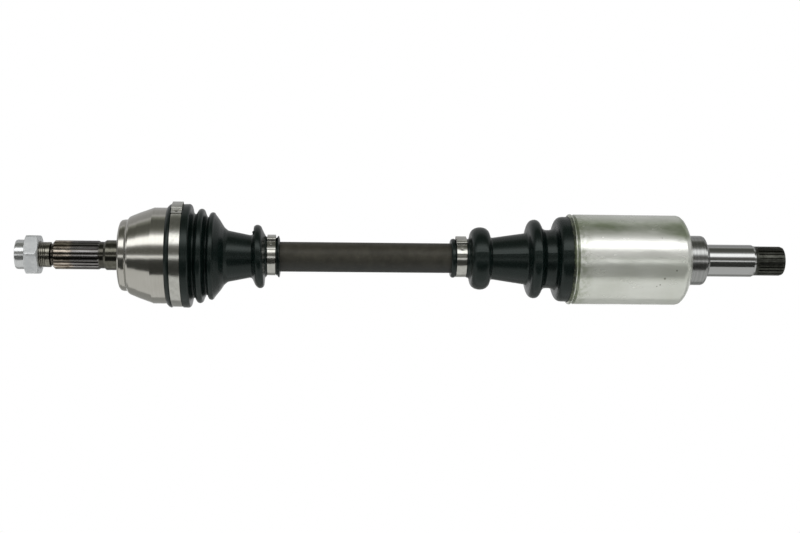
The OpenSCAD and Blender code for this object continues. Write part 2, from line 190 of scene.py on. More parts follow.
def m_thread():
    t = Tree("thread_oiled_steel")
    n = t.noise(0.45, 4.0, 0.6)
    crest = t.range(t.radius(), 9.55, 9.85)
    col = t.mix(t.range(n, 0.35, 0.68), (0.17, 0.165, 0.135), (0.30, 0.29, 0.25))
    col = t.mix(crest, (0.085, 0.08, 0.066), col)
    t.set(Base_Color=col, Metallic=1.0, Roughness=t.range(n, 0.3, 0.7, 0.13, 0.24))
    t.set(Normal=t.bump(t.noise(2.5, 2.0), 0.008, 0.6))
    return t.mat


def m_nut():
    t = Tree("nut_zinc_plate")
    n = t.noise(0.16, 5.0, 0.6)
    fine = t.noise(3.2, 3.0, 0.6)
    hexpart = t.range(t.x, -300.5, -299.6)
    col = t.mix(t.range(n, 0.32, 0.7), (0.60, 0.62, 0.63), (0.71, 0.725, 0.73))
    lines = t.line_noise(t.x, 2.2, 2.0)
    collar = t.mix(lines, (0.52, 0.535, 0.54), (0.72, 0.73, 0.73))
    col = t.mix(hexpart, collar, col)
    worn = t.range(t.voronoi(0.5), 0.02, 0.07, 0.35, 0.0)
    col = t.mix(worn, col, (0.42, 0.43, 0.43))
    t.set(Base_Color=col, Metallic=0.88)
    t.set(Roughness=t.math("ADD", t.mixf(hexpart, 0.20, 0.50), t.math("MULTIPLY", t.math("SUBTRACT", fine, 0.5), 0.12)))
    t.set(Normal=t.bump(fine, 0.02, 0.8, t.bump(n, 0.05, 0.6)))
    return t.mat


def m_clamp():
    t = Tree("clamp_strip_steel")
    n = t.noise(0.25, 4.0, 0.6)
    roll = t.noise(2.4, 3.0, 0.6, vec=t.scaled(2.2, 0.22, 0.22))
    col = t.mix(t.range(n, 0.34, 0.7), (0.43, 0.43, 0.395), (0.54, 0.54, 0.505))
    scratch = t.range(t.noise(1.2, 2.0, 0.5, vec=t.scaled(4.0, 0.18, 0.18)), 0.66, 0.72)
    col = t.mix(t.math("MULTIPLY", scratch, 0.4), col, (0.4, 0.4, 0.37))
    t.set(Base_Color=col, Metallic=1.0, Roughness=t.math("ADD", 0.125, t.math("MULTIPLY", roll, 0.10)))
    t.set(Normal=t.bump(roll, 0.008, 1.0, t.bump(n, 0.03, 0.7)))
    return t.mat


def m_can():
    t = Tree("can_plated_sheet")
    n = t.noise(0.035, 4.0, 0.55)
    n2 = t.noise(0.11, 3.0, 0.55, vec=t.scaled(0.35, 1.0, 1.0))
    col = t.mix(t.range(n, 0.33, 0.68), (0.62, 0.64, 0.58), (0.71, 0.725, 0.675))
    # painted highlight: a lighter band above the axis, all round; below it a darker greyish-green band; painted
    # dark-green reflection higher on the upper side
    painted_highlight = t.math("MULTIPLY", t.range(t.z, -0.5, 4.5, smooth=True), t.range(t.z, 27.0, 22.0, smooth=True))
    col = t.mix(t.math("MULTIPLY", painted_highlight, 0.85), col, (0.90, 0.905, 0.865))
    # a darker greyish-green band just below the axis, all round
    tint_mask = t.math("MULTIPLY", t.range(t.z, -2.0, -6.0, smooth=True), t.range(t.z, -19.0, -14.0, smooth=True))
    col = t.mix(t.math("MULTIPLY", tint_mask, 0.35), col, (0.42, 0.44, 0.37))
    # painted reflection: a dark-green band on the upper side, reaching lower towards the shoulder
    green = t.range(t.noise(0.06, 3.0, 0.6, vec=t.scaled(0.5, 1.0, 1.0)), 0.30, 0.62, 0.35, 1.0)
    low = t.range(t.x, 192.0, 222.0, 18.0, 13.5)
    green = t.math("MULTIPLY", green, t.math("MULTIPLY", t.range(t.z, low, t.math("ADD", low, 5.5)), t.range(t.z, 34.0, 28.5, smooth=True)))
    col = t.mix(t.math("MULTIPLY", green, 0.85), col, (0.21, 0.255, 0.155))
    dot = t.math("MULTIPLY", t.range(t.voronoi(0.13), 0.035, 0.07, 1.0, 0.0), t.range(t.noise(0.045, 2.0), 0.56, 0.6))
    col = t.mix(dot, col, (0.09, 0.085, 0.07))
    for cx, cz, r in ((210.5, -8.2, 0.75), (201.5, -14.6, 0.85), (198.5, -19.5, 0.6), (196.0, -20.8, 0.5)):
        away = t.math("SQRT", t.math("ADD", t.math("POWER", t.math("SUBTRACT", t.x, cx), 2.0), t.math("POWER", t.math("SUBTRACT", t.z, cz), 2.0)))
        spot = t.math("MULTIPLY", t.range(away, r * 0.5, r * 1.3, 1.0, 0.0), t.range(t.y, -1.0, -2.0))
        col = t.mix(t.math("MULTIPLY", spot, 0.8), col, (0.10, 0.095, 0.07))
    # painted shade and painted reflection of the boot on the rolled edge, and mottled green-black painted shade in the
    # groove beside it
    side = t.range(t.math("ABSOLUTE", t.z), 33.9, 33.0)
    col = t.mix(t.math("MULTIPLY", t.math("MULTIPLY", t.range(t.x, 131.35, 130.9), side), 0.97), col, (0.012, 0.016, 0.014))
    # painted shade in the groove between the rim and the body
    recess = t.math("MULTIPLY", t.range(t.x, 132.0, 132.4), t.range(t.x, 134.4, 133.9))
    col = t.mix(t.math("MULTIPLY", recess, t.range(t.noise(0.12, 2.0), 0.3, 0.6, 0.6, 0.92)), col, (0.075, 0.095, 0.05))
    # painted reflection: a dark greenish band on the upper side of the shoulder
    shoulder = t.math("MULTIPLY", t.range(t.x, 215.0, 221.0, smooth=True), t.range(t.z, 13.0, 20.0, smooth=True))
    col = t.mix(t.math("MULTIPLY", shoulder, t.range(t.noise(0.18, 3.0, 0.6), 0.35, 0.6, 0.25, 0.75)), col, (0.24, 0.28, 0.18))
    # painted reflection: dark greenish smudges on the body next to the rim
    patch_tone = t.math("MULTIPLY", t.range(t.x, 146.0, 135.0), t.range(t.noise(0.22, 3.0, 0.6, vec=t.scaled(1.2, 1.0, 1.0)), 0.38, 0.62))
    col = t.mix(t.math("MULTIPLY", patch_tone, 0.62), col, (0.22, 0.255, 0.155))
    lines = t.line_noise(t.x, 1.1, 3.0)
    rough = t.math("ADD", 0.175, t.math("MULTIPLY", t.range(n2, 0.35, 0.7), 0.12))
    t.set(Base_Color=col, Metallic=0.52, Roughness=rough, Specular_IOR_Level=0.5)
    t.set(Normal=t.bump(n2, 0.085, 1.0, t.bump(lines, 0.003, 1.0)))
    return t.mat


def m_bar():
    t = Tree("bar_black_oxide")
    n = t.noise(0.12, 4.0, 0.6)
    fine = t.noise(2.1, 4.0, 0.65)
    col = t.mix(t.range(n, 0.35, 0.68), (0.032, 0.030, 0.021), (0.051, 0.047, 0.035))
    # painted shade: the underside is darker
    col = t.mix(t.range(t.z, 1.0, -9.0, 0.0, 0.62), col, (0.008, 0.011, 0.012))
    speck = t.math("MULTIPLY", t.range(t.voronoi(0.32), 0.03, 0.08, 1.0, 0.0), t.range(t.noise(0.2, 2.0), 0.47, 0.55))
    col = t.mix(t.math("MULTIPLY", speck, 0.6), col, (0.20, 0.17, 0.13))
    lines = t.line_noise(t.x, 0.9, 3.0)
    t.set(Base_Color=col, Metallic=0.0, Roughness=t.math("ADD", 0.46, t.math("MULTIPLY", t.math("SUBTRACT", fine, 0.5), 0.16)), Specular_IOR_Level=0.28)
    t.set(Normal=t.bump(fine, 0.05, 0.8, t.bump(lines, 0.02, 0.7)))
    return t.mat


def m_rubber(name="boot_neoprene"):
    t = Tree(name)
    n = t.noise(0.09, 4.0, 0.6)
    grain = t.noise(3.4, 4.0, 0.65)
    dust = t.range(t.noise(0.8, 4.0, 0.7), 0.56, 0.8)
    col = t.mix(t.range(n, 0.34, 0.68), (0.0018, 0.0050, 0.0042), (0.0038, 0.0084, 0.0073))
    col = t.mix(t.math("MULTIPLY", dust, 0.06), col, (0.05, 0.055, 0.052))
    t.set(Base_Color=col, Metallic=0.0, Specular_IOR_Level=0.35, Specular_Tint=(0.89, 1.0, 0.955))
    t.set(Roughness=t.math("ADD", 0.27, t.math("ADD", t.math("MULTIPLY", t.math("SUBTRACT", grain, 0.5), 0.14), t.math("MULTIPLY", dust, 0.12))))
    t.set(Normal=t.bump(grain, 0.018, 0.8, t.bump(t.noise(0.4, 3.0), 0.04, 0.6)))
    return t.mat


def m_stub():
    """Collar, journal and spline of the gearbox side, each with its own finish by station along the axle."""
    t = Tree("gearbox_stub_steel")
    lines = t.line_noise(t.x, 1.5, 3.0)
    fine = t.line_noise(t.x, 4.5, 2.0)
    blot = t.noise(0.12, 3.0, 0.6)
    collar = t.mix(t.range(lines, 0.3, 0.72), (0.25, 0.255, 0.25), (0.39, 0.395, 0.385))
    journal = t.mix(t.range(fine, 0.3, 0.7), (0.37, 0.375, 0.37), (0.45, 0.455, 0.45))
    spline = t.mix(t.range(t.noise(0.6, 3.0), 0.34, 0.7), (0.035, 0.036, 0.030), (0.075, 0.078, 0.068))
    on_journal = t.range(t.radius(), 13.9, 13.1)
    on_spline = t.range(t.x, 281.5, 282.2)
    col = t.mix(on_spline, t.mix(on_journal, collar, journal), spline)
    col = t.mix(t.math("MULTIPLY", t.range(blot, 0.5, 0.8), 0.2), col, (0.30, 0.30, 0.27))
    rough = t.mixf(on_spline, t.mixf(on_journal, 0.215, 0.13), 0.36)
    t.set(Base_Color=col, Metallic=1.0)
    t.set(Roughness=t.math("ADD", rough, t.math("MULTIPLY", t.math("SUBTRACT", t.noise(0.7, 3.0), 0.5), 0.06)))
    t.set(Normal=t.bump(lines, 0.004, 1.0, t.bump(fine, 0.0015, 1.0)))
    return t.mat


def m_bearing(name, base, rough, axis_lines=True):
    t = Tree(name)
    n = t.noise(0.3, 4.0, 0.6)
    fine = t.noise(4.0, 3.0, 0.6)
    col = t.mix(t.range(n, 0.34, 0.7), tuple(c * 0.82 for c in base), base)
    tint_mask = t.range(t.noise(0.22, 3.0), 0.54, 0.72)
    col = t.mix(t.math("MULTIPLY", tint_mask, 0.35), col, (0.30, 0.24, 0.15))
    t.set(Base_Color=col, Metallic=1.0, Roughness=t.math("ADD", rough, t.math("MULTIPLY", fine, 0.07)))
    t.set(Normal=t.bump(fine, 0.004, 1.0, t.bump(t.line_noise(t.x, 2.0), 0.004, 1.0)))
    return t.mat


def m_grease():
    t = Tree("joint_grease_film")
    n = t.noise(0.35, 5.0, 0.6)
    col = t.mix(t.range(n, 0.3, 0.7), (0.045, 0.032, 0.016), (0.12, 0.085, 0.04))
    t.set(Base_Color=col, Metallic=0.0, Roughness=t.range(n, 0.3, 0.7, 0.18, 0.34), Specular_IOR_Level=0.6, Coat_Weight=0.4, Coat_Roughness=0.12)
    t.set(Normal=t.bump(t.noise(0.9, 3.0), 0.35, 0.8))
    return t.mat


def m_floor():
    t = Tree("studio_floor")
    n = t.noise(0.004, 3.0)
    t.set(Base_Color=t.mix(n, (0.82, 0.82, 0.815), (0.86, 0.86, 0.855)), Roughness=0.9)
    t.set(Emission_Color=(1.0, 1.0, 1.0), Emission_Strength=0.30)
    return t.mat


M = {
    "bell": m_bell(),
    "thread": m_thread(),
    "nut": m_nut(),
    "clamp": m_clamp(),
    "can": m_can(),
    "bar": m_bar(),
    "rubber": m_rubber(),
    "stub": m_stub(),
    "race": m_bearing("race_ground_steel", (0.58, 0.585, 0.59), 0.16),
    "cage": m_bearing("cage_hardened_steel", (0.40, 0.41, 0.42), 0.26),
    "ball": m_bearing("ball_polished_steel", (0.74, 0.745, 0.75), 0.05),
    "clip": m_bearing("clip_spring_steel", (0.30, 0.305, 0.31), 0.30),
    "grease": m_grease(),
}

for node, mat in {
    "shaft_bar": "bar", "inner_race": "race", "race_circlip": "clip", "spider_circlip": "clip",
    "tripod_spider": "cage", "roller_clip_1": "clip", "roller_clip_2": "clip", "roller_clip_3": "clip",
    "ball_cage": "cage", "inner_joint_housing": "stub",
    "roller_1": "race", "roller_2": "race", "roller_3": "race",
    "needles_1": "ball", "needles_2": "ball", "needles_3": "ball",
    "ball_1": "ball", "ball_2": "ball", "ball_3": "ball", "ball_4": "ball", "ball_5": "ball", "ball_6": "ball",
}.items():
    ob = NODES[node]
    if not ob.material_slots:
        ob.data.materials.append(M[mat])
    for s in ob.material_slots:
        s.material = M[mat]


# ------------------------------------------------------------------ mesh helpers
def link(me, name):
    ob = D.objects.new(name, me)
    scene.collection.objects.link(ob)
    return ob


def smooth(me, angle):
    me.polygons.foreach_set("use_smooth", np.ones(len(me.polygons), bool))
    me.set_sharp_from_angle(angle=math.radians(angle))


def arc(cr, cx, r, a0, a1, n):
    return [(cr + r * math.sin(math.radians(a0 + (a1 - a0) * i / n)), cx - r * math.cos(math.radians(a0 + (a1 - a0) * i / n))) for i in range(n + 1)]


def rounded(pts, steps=4):
    """Points (a, b, fillet) to plain (a, b) with each corner that has a fillet rounded."""
    out = []
    n = len(pts)
    for i, p in enumerate(pts):
        f = p[2] if len(p) > 2 else 0.0
        if f <= 0 or i in (0, n - 1):
            out.append((p[0], p[1]))
            continue
        c = np.array(p[:2], float)
        a, b = np.array(pts[i - 1][:2], float) - c, np.array(pts[i + 1][:2], float) - c
        la, lb = np.linalg.norm(a), np.linalg.norm(b)
        a, b = a / la, b / lb
        ang = math.acos(max(-1.0, min(1.0, float(a @ b))))
        if ang > math.radians(178):
            out.append(tuple(c))
            continue
        cut = min(f / math.tan(ang / 2), 0.47 * la, 0.47 * lb)
        r = cut * math.tan(ang / 2)
        mid = (a + b) / np.linalg.norm(a + b)
        centre = c + mid * (r / math.sin(ang / 2))
        s, e = c + a * cut - centre, c + b * cut - centre
        sweep = math.pi - ang
        for k in range(steps + 1):
            t = k / steps
            v = (math.sin((1 - t) * sweep) * s + math.sin(t * sweep) * e) / max(math.sin(sweep), 1e-9)
            out.append(tuple(centre + v))
    return out


def refine(pts, longest):
    out = [pts[0]]
    for a, b in zip(pts, pts[1:]):
        d = math.dist(a, b)
        k = max(1, int(math.ceil(d / longest)))
        for i in range(1, k + 1):
            out.append((a[0] + (b[0] - a[0]) * i / k, a[1] + (b[1] - a[1]) * i / k))
    return out


def insert_at(pts, x):
    """Adds a point wherever the line of (r, x) points crosses station x."""
    out = [pts[0]]
    for a, b in zip(pts, pts[1:]):
        if (a[1] - x) * (b[1] - x) < -1e-12:
            t = (x - a[1]) / (b[1] - a[1])
            out.append((a[0] + (b[0] - a[0]) * t, x))
        out.append(b)
    return out


def rings(name, R, X, theta, closed=False, poles=(False, False), sharp=30.0, mats=()):
    """A mesh from K rings of N points, with radius R[k, n] and station X[k, n] in millimetres. Theta runs from +Z towards -Y."""
    K, N = R.shape
    th = np.broadcast_to(theta, (K, N))
    co = np.stack([X, -R * np.sin(th), R * np.cos(th)], -1).reshape(-1, 3) * MM
    idx = np.arange(K * N).reshape(K, N)
    faces = []
    for k in range(K if closed else K - 1):
        a, b = idx[k], idx[(k + 1) % K]
        faces.append(np.stack([a, b, np.roll(b, -1), np.roll(a, -1)], -1))
    quads = np.concatenate(faces)
    v = co[quads]
    vol = np.einsum("ij,ij->i", v[:, 0], np.cross(v[:, 1], v[:, 2])).sum() + np.einsum("ij,ij->i", v[:, 0], np.cross(v[:, 2], v[:, 3])).sum()
    flip = vol < 0
    allf = quads[:, ::-1].tolist() if flip else quads.tolist()
    verts = co.tolist()
    for end, k in ((0, 0), (1, K - 1)):
        if poles[end]:
            verts.append([float(X[k].mean()) * MM, 0.0, 0.0])
            c = len(verts) - 1
            for n in range(N):
                i, j = int(idx[k, n]), int(idx[k, (n + 1) % N])
                tri = [c, i, j] if end == 0 else [c, j, i]
                allf.append(tri[::-1] if flip else tri)
    me = D.meshes.new(name)
    me.from_pydata(verts, [], allf)
    me.update()
    for m in mats:
        me.materials.append(m)
    smooth(me, sharp)
    return link(me, name)


def lathe(name, profile, theta, mats, closed=True, poles=(False, False), sharp=30.0, shape=None):
    P = np.array(profile, float)
    R = np.repeat(P[:, 0:1], len(theta), 1)
    X = np.repeat(P[:, 1:2], len(theta), 1)
    if shape is not None:
        R, X = shape(R, X, np.broadcast_to(theta, R.shape))
    return rings(name, R, X, theta, closed, poles, sharp, mats)


def around(n):
    return np.arange(n) * 2 * math.pi / n


def gauss(d, s):
    return np.exp(-0.5 * (d / s) ** 2)


def dtheta(a, b_deg):
    return (a - math.radians(b_deg) + math.pi) % (2 * math.pi) - math.pi


def window(x, a, b, soft):
    """1 between a and b, falling smoothly to 0 over soft outside them."""
    u = np.clip((x - (a - soft)) / soft, 0, 1) * np.clip(((b + soft) - x) / soft, 0, 1)
    return u * u * (3 - 2 * u)


# ------------------------------------------------------------------ bell: the CAD forging with a cut thread
STUB_X0, THREAD_R, PITCH = -306.4, 9.95, 1.5


def thread_depth(x, th, pitch, depth):
    """0 at the crest and depth at the root of a 60 degree thread."""
    u = (x / pitch + th / (2 * math.pi)) % 1.0
    s = np.abs(u - 0.5) * 2
    return depth * np.clip((0.55 - s) / 0.42, 0, 1)


def make_bell():
    src = NODES["outer_joint_housing"]
    me = src.data
    n = len(me.loops)
    nor = np.zeros(n * 3, np.float32)
    me.corner_normals.foreach_get("vector", nor)
    new = me.copy()
    new.name = "bell_and_stub"
    at = new.attributes.new("keep_normal", "FLOAT_VECTOR", "CORNER")
    at.data.foreach_set("vector", nor)
    bm = bmesh.new()
    bm.from_mesh(new)
    gone = [f for f in bm.faces if all(v.co.x < -0.28008 for v in f.verts)]
    bmesh.ops.delete(bm, geom=gone, context="FACES")
    loose = [v for v in bm.verts if not v.link_faces]
    bmesh.ops.delete(bm, geom=loose, context="VERTS")
    bmesh.ops.remove_doubles(bm, verts=bm.verts, dist=1e-7)
    bm.to_mesh(new)
    bm.free()
    keep = np.zeros(len(new.loops) * 3, np.float32)
    new.attributes["keep_normal"].data.foreach_get("vector", keep)
    new.attributes.remove(new.attributes["keep_normal"])
    new.polygons.foreach_set("use_smooth", np.ones(len(new.polygons), bool))
    new.normals_split_custom_set(keep.reshape(-1, 3).tolist())
    new.materials.clear()
    new.materials.append(M["bell"])
    ob = link(new, "bell_and_stub")
    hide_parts("outer_joint_housing")
    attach(ob, "outer_bell")

    # threaded end: crest to root grooves, chamfered start, centre drilling and the staking slot
    th = np.sort(np.concatenate([around(120), np.radians([9.9, 10.35, -9.9 + 360, -10.35 + 360])]))
    st = [(0.4, STUB_X0 + 5), (3.2, STUB_X0), (8.6, STUB_X0)]
    xs = np.arange(STUB_X0 + 0.001, -280.9, PITCH / 8)
    R = [np.full(len(th), r) for r, x in st]
    X = [np.full(len(th), x) for r, x in st]
    for x in xs:
        lead = THREAD_R - 1.25 + (x - STUB_X0)
        r = THREAD_R - thread_depth(x, th, PITCH, 0.34) * np.clip((-283.4 - x) / 1.2, 0, 1)
        r = np.minimum(r, lead)
        slot = (THREAD_R - 2.6) / np.maximum(np.cos(th), 0.1)
        inside = (np.abs(np.sin(th)) * THREAD_R < 1.75) & (np.cos(th) > 0) & (x < STUB_X0 + 8.0)
        R.append(np.where(inside, np.minimum(r, slot), r))
        X.append(np.full(len(th), x))
    for r, x in ((9.6, -280.85), (8.7, -280.15), (8.45, -280.08)):
        R.append(np.full(len(th), r))
        X.append(np.full(len(th), x))
    ob = rings("stub_thread", np.array(R), np.array(X), th, poles=(True, True), sharp=38, mats=[M["thread"]])
    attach(ob, "outer_bell")


make_bell()


# ------------------------------------------------------------------ hub nut
def make_nut():
    n = 180
    th = around(n)
    a = (th + math.radians(30)) % math.radians(60) - math.radians(30)
    hexr = 15.0 / np.cos(a)
    hexr = -0.22 * np.log(np.exp(-hexr / 0.22) + np.exp(-17.12 / 0.22))

    def soft_min(p, q, k=0.16):
        m = np.minimum(p, q)
        return m - k * np.log(np.exp(-(p - m) / k) + np.exp(-(q - m) / k))

    R, X = [], []

    def ring(r, x):
        R.append(np.broadcast_to(np.asarray(r, float), (n,)).copy())
        X.append(np.full(n, x))

    for r, x in rounded([(10.05, -307.9), (10.55, -307.9, 0.1), (11.25, -307.7, 0.35), (11.65, -306.5, 0.9), (11.62, -300.4)], 4):
        ring(r, x)
    for r, x in ((11.7, -300.05), (11.95, -299.85), (12.8, -299.8)):
        ring(r, x)
    xs = np.concatenate([np.linspace(-299.8, -298.2, 9), np.linspace(-297.4, -292.2, 6), np.linspace(-291.6, -289.5, 10), [-289.32]])
    for x in xs:
        left = 15.3 + (x + 299.8) * 1.75
        right = 17.9 - max(0.0, x + 291.6) * 1.25
        ring(soft_min(soft_min(hexr, np.full(n, left)), np.full(n, right), 0.12), x)
    ring(14.4, -289.3)
    ring(11.0, -289.3)
    for x in np.arange(-289.3 - 0.05, -307.85, -PITCH / 8):
        open_end = max(0.0, (x + 290.3)) * 0.9 + max(0.0, (-307.3 - x)) * 0.1
        ring(10.02 + thread_depth(x, th, PITCH, 0.42) + open_end, x)
    ob = rings("hub_nut_detailed", np.array(R), np.array(X), th, closed=True, sharp=32, mats=[M["nut"]])
    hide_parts("hub_nut")
    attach(ob, "hub_nut")


make_nut()


# ------------------------------------------------------------------ ear clamps
def strip(name, line, xs, t, holes=(), mats=()):
    """A sheet of thickness t that follows a line of (y, z) points, from xs[0] to xs[-1], with rectangular holes (i0, i1, x0, x1) by line index."""
    P = np.array(line, float)
    T = np.gradient(P, axis=0)
    T /= np.linalg.norm(T, axis=1)[:, None]
    Nn = np.stack([T[:, 1], -T[:, 0]], -1)
    if (Nn * P).sum() < 0:
        Nn = -Nn
    cells = np.ones((len(P) - 1, len(xs) - 1), bool)
    for i0, i1, x0, x1 in holes:
        for j in range(len(xs) - 1):
            if x0 - 1e-6 <= (xs[j] + xs[j + 1]) / 2 <= x1 + 1e-6:
                cells[i0:i1, j] = False
    m, k = len(P), len(xs)
    verts = []
    for side in (0.5, -0.5):
        Q = P + Nn * t * side
        for i in range(m):
            for j in range(k):
                verts.append((xs[j] * MM, Q[i, 0] * MM, Q[i, 1] * MM))

    def top(i, j):
        return i * k + j

    def bot(i, j):
        return m * k + i * k + j

    faces = []
    for i in range(m - 1):
        for j in range(k - 1):
            if not cells[i, j]:
                continue
            faces.append((top(i, j), top(i + 1, j), top(i + 1, j + 1), top(i, j + 1)))
            faces.append((bot(i, j + 1), bot(i + 1, j + 1), bot(i + 1, j), bot(i, j)))
            for di, dj, a, b in ((-1, 0, (i, j), (i, j + 1)), (1, 0, (i + 1, j + 1), (i + 1, j)), (0, -1, (i + 1, j), (i, j)), (0, 1, (i, j + 1), (i + 1, j + 1))):
                ii, jj = i + di, j + dj
                if 0 <= ii < m - 1 and 0 <= jj < k - 1 and cells[ii, jj]:
                    continue
                faces.append((top(*a), top(*b), bot(*b), bot(*a)))
    me = D.meshes.new(name)
    me.from_pydata(verts, [], faces)
    bm = bmesh.new()
    bm.from_mesh(me)
    bmesh.ops.delete(bm, geom=[v for v in bm.verts if not v.link_faces], context="VERTS")
    bmesh.ops.recalc_face_normals(bm, faces=bm.faces)
    edges = [e for e in bm.edges if len(e.link_faces) == 2 and e.calc_face_angle(0.0) > math.radians(50)]
    bmesh.ops.bevel(bm, geom=edges, offset=0.11 * MM, segments=2, profile=0.5, affect="EDGES", clamp_overlap=True)
    bm.to_mesh(me)
    bm.free()
    for mt in mats:
        me.materials.append(mt)
    smooth(me, 40)
    return link(me, name)


def polar(r, deg):
    a = math.radians(deg)
    return (-r * math.sin(a), r * math.cos(a))


def make_clamp(name, node, body, x0, x1, ri, ro, ear, a0, a1, lap):
    n = 216
    band = lathe(name + "_band", rounded([(ri, (x0 + x1) / 2), (ri, x0, 0.22), (ro, x0, 0.3), (ro, x1, 0.3), (ri, x1, 0.22), (ri, (x0 + x1) / 2)], 3)[:-1],
                 around(n), [M["clamp"]], closed=True, sharp=40)
    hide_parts(node)
    t = 0.62
    rl = ro + 0.02 + t / 2
    step = 75.0 / ro
    pts = []
    a = a0 - 21.0
    while a < a0 - 1.2:
        pts.append((*polar(rl, a), 0.0))
        a += step
    top = ro + ear - t / 2 - 0.03
    am = (a0 + a1) / 2
    foot = 57.3 * 0.5 / ro
    ear_pts = [(*polar(rl, a0 - foot), 0.55), (*polar(top * 0.998, a0 + foot * 0.6), 0.75)]
    k = 5
    for i in range(1, k):
        aa = a0 + foot + (a1 - a0 - 2 * foot) * i / k
        sink = 0.42 * math.sin(math.pi * i / k) ** 2 * min(1.0, 16.0 / ro)
        ear_pts.append((*polar(top - sink, aa), 3.0))
    ear_pts += [(*polar(top * 0.998, a1 - foot * 0.6), 0.75), (*polar(rl, a1 + foot), 0.55)]
    tail = []
    a = a1 + foot * 3.2
    while a < lap:
        tail.append((*polar(rl, a), 0.0))
        a += step
    tail.append((*polar(rl, lap), 0.0))
    line = refine(rounded(pts + ear_pts + tail, 4), 1.3)
    # window in the lap, with the hook of the inner layer showing in it
    P = np.array(line)
    ang = np.degrees(np.arctan2(-P[:, 0], P[:, 1]))
    w0, w1 = a1 + (lap - a1) * 0.26, a1 + (lap - a1) * 0.62
    ids = np.where((ang > w0) & (ang < w1))[0]
    xm = (x0 + x1) / 2
    hw = 1.15 if ro < 20 else 1.3
    xs = sorted({x0 + 0.02, x0 + 1.2, xm - hw, xm - hw / 3, xm + hw / 3, xm + hw, x1 - 1.2, x1 - 0.02})
    holes = [(int(ids[0]), int(ids[-1]), xm - hw, xm + hw)] if len(ids) > 2 else []
    outer = strip(name + "_ear", line, xs, t, holes, [M["clamp"]])
    # the hook: a short tongue that rises through the window and leans over its edge
    ah = w0 + (w1 - w0) * 0.3
    hook_line = rounded([(*polar(ro + 0.12, ah - 57.3 * 0.7 / ro), 0.0), (*polar(ro + 0.2, ah), 0.3), (*polar(ro + t + 0.32, ah + 57.3 * 0.35 / ro), 0.35), (*polar(ro + t + 0.42, ah + 57.3 * 1.5 / ro), 0.0)], 4)
    hook = strip(name + "_hook", hook_line, [xm - hw * 0.72, xm, xm + hw * 0.72], 0.3, (), [M["clamp"]])
    for ob in (band, outer, hook):
        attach(ob, body)


make_clamp("large_clamp", "outer_large_clamp", "outer_bell", -185.4, -177.1, 39.6, 40.5, 2.8, 6, 28, 36)
make_clamp("outer_small_clamp_v", "outer_small_clamp", "shaft", -111.2, -104.5, 14.0, 14.9, 2.9, -16, 36, 69)
make_clamp("inner_small_clamp_v", "inner_small_clamp", "shaft", 39.2, 47.4, 14.2, 15.1, 2.8, -6, 45, 79)


# ------------------------------------------------------------------ can
def make_can():
    outer = [(34.62, 129.3)] + arc(35.2, 131.1, 1.24, 12, 168, 12) + rounded(
        [(35.7, 132.6), (35.62, 133.0, 0.3), (35.66, 133.75, 0.3), (36.17, 134.5, 0.5), (36.17, 217.4, 2.0), (35.6, 219.5, 2.5), (33.5, 221.9, 4.0),
         (31.5, 223.2, 5.0), (29.4, 224.4, 5.0), (26.3, 225.8, 6.0), (22.2, 227.05, 3.0), (20.9, 227.55, 0.6), (20.35, 227.72, 0.2), (20.07, 227.4, 0.1), (20.07, 226.6)], 4)
    inner = [(21.72, 225.97), (25.93, 224.68), (28.75, 223.38), (30.75, 222.28), (32.65, 221.08), (34.55, 218.78), (35.1, 217.78), (35.1, 135.2), (34.47, 134.0), (34.47, 129.8)]
    prof = refine(outer, 1.6) + refine(inner, 6.0)
    dents = [(204.0, 47.0, -0.20, 3.2, 4.0), (211.0, 40.0, -0.26, 2.6, 3.0), (196.0, 52.0, -0.12, 5.0, 3.4), (214.5, 61.0, -0.22, 2.4, 3.2),
             (146.0, 50.0, -0.10, 4.0, 3.2), (158.0, 44.0, -0.08, 6.0, 3.0), (206.0, -70.0, -0.15, 4.0, 5.0), (170.0, 190.0, -0.16, 5.0, 6.0), (150.0, 250.0, -0.12, 4.0, 5.0)]

    def shape(R, X, th):
        on = window(X, 136.0, 226.0, 3.0) * (R > 30.0)
        d = 0.022 * np.sin(X / 3.7 + 2.2 * np.sin(th * 2 + 0.4)) * np.sin(th * 3 + X / 19.0)
        d += 0.020 * np.sin(X / 8.3 + 1.1) * np.sin(th * 5 + 0.7 * np.sin(X / 11.0))
        for x, a, h, sx, sa in dents:
            d += h * gauss(X - x, sx) * gauss(dtheta(th, a) * 36.2, sa)
        d = d * on
        # no more than the sheet's own thickness, so that the inner face stays clear
        return R + np.clip(d, -0.3, 0.06), X

    ob = lathe("can_shell", prof, around(240), [M["can"]], closed=True, sharp=34, shape=shape)
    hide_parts("housing_can")
    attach(ob, "inner_housing")


make_can()


# ------------------------------------------------------------------ boots
BAR_R = 11.9


def corner_normals(me):
    a = np.zeros(len(me.loops) * 3, np.float32)
    me.corner_normals.foreach_get("vector", a)
    return a.reshape(-1, 3)


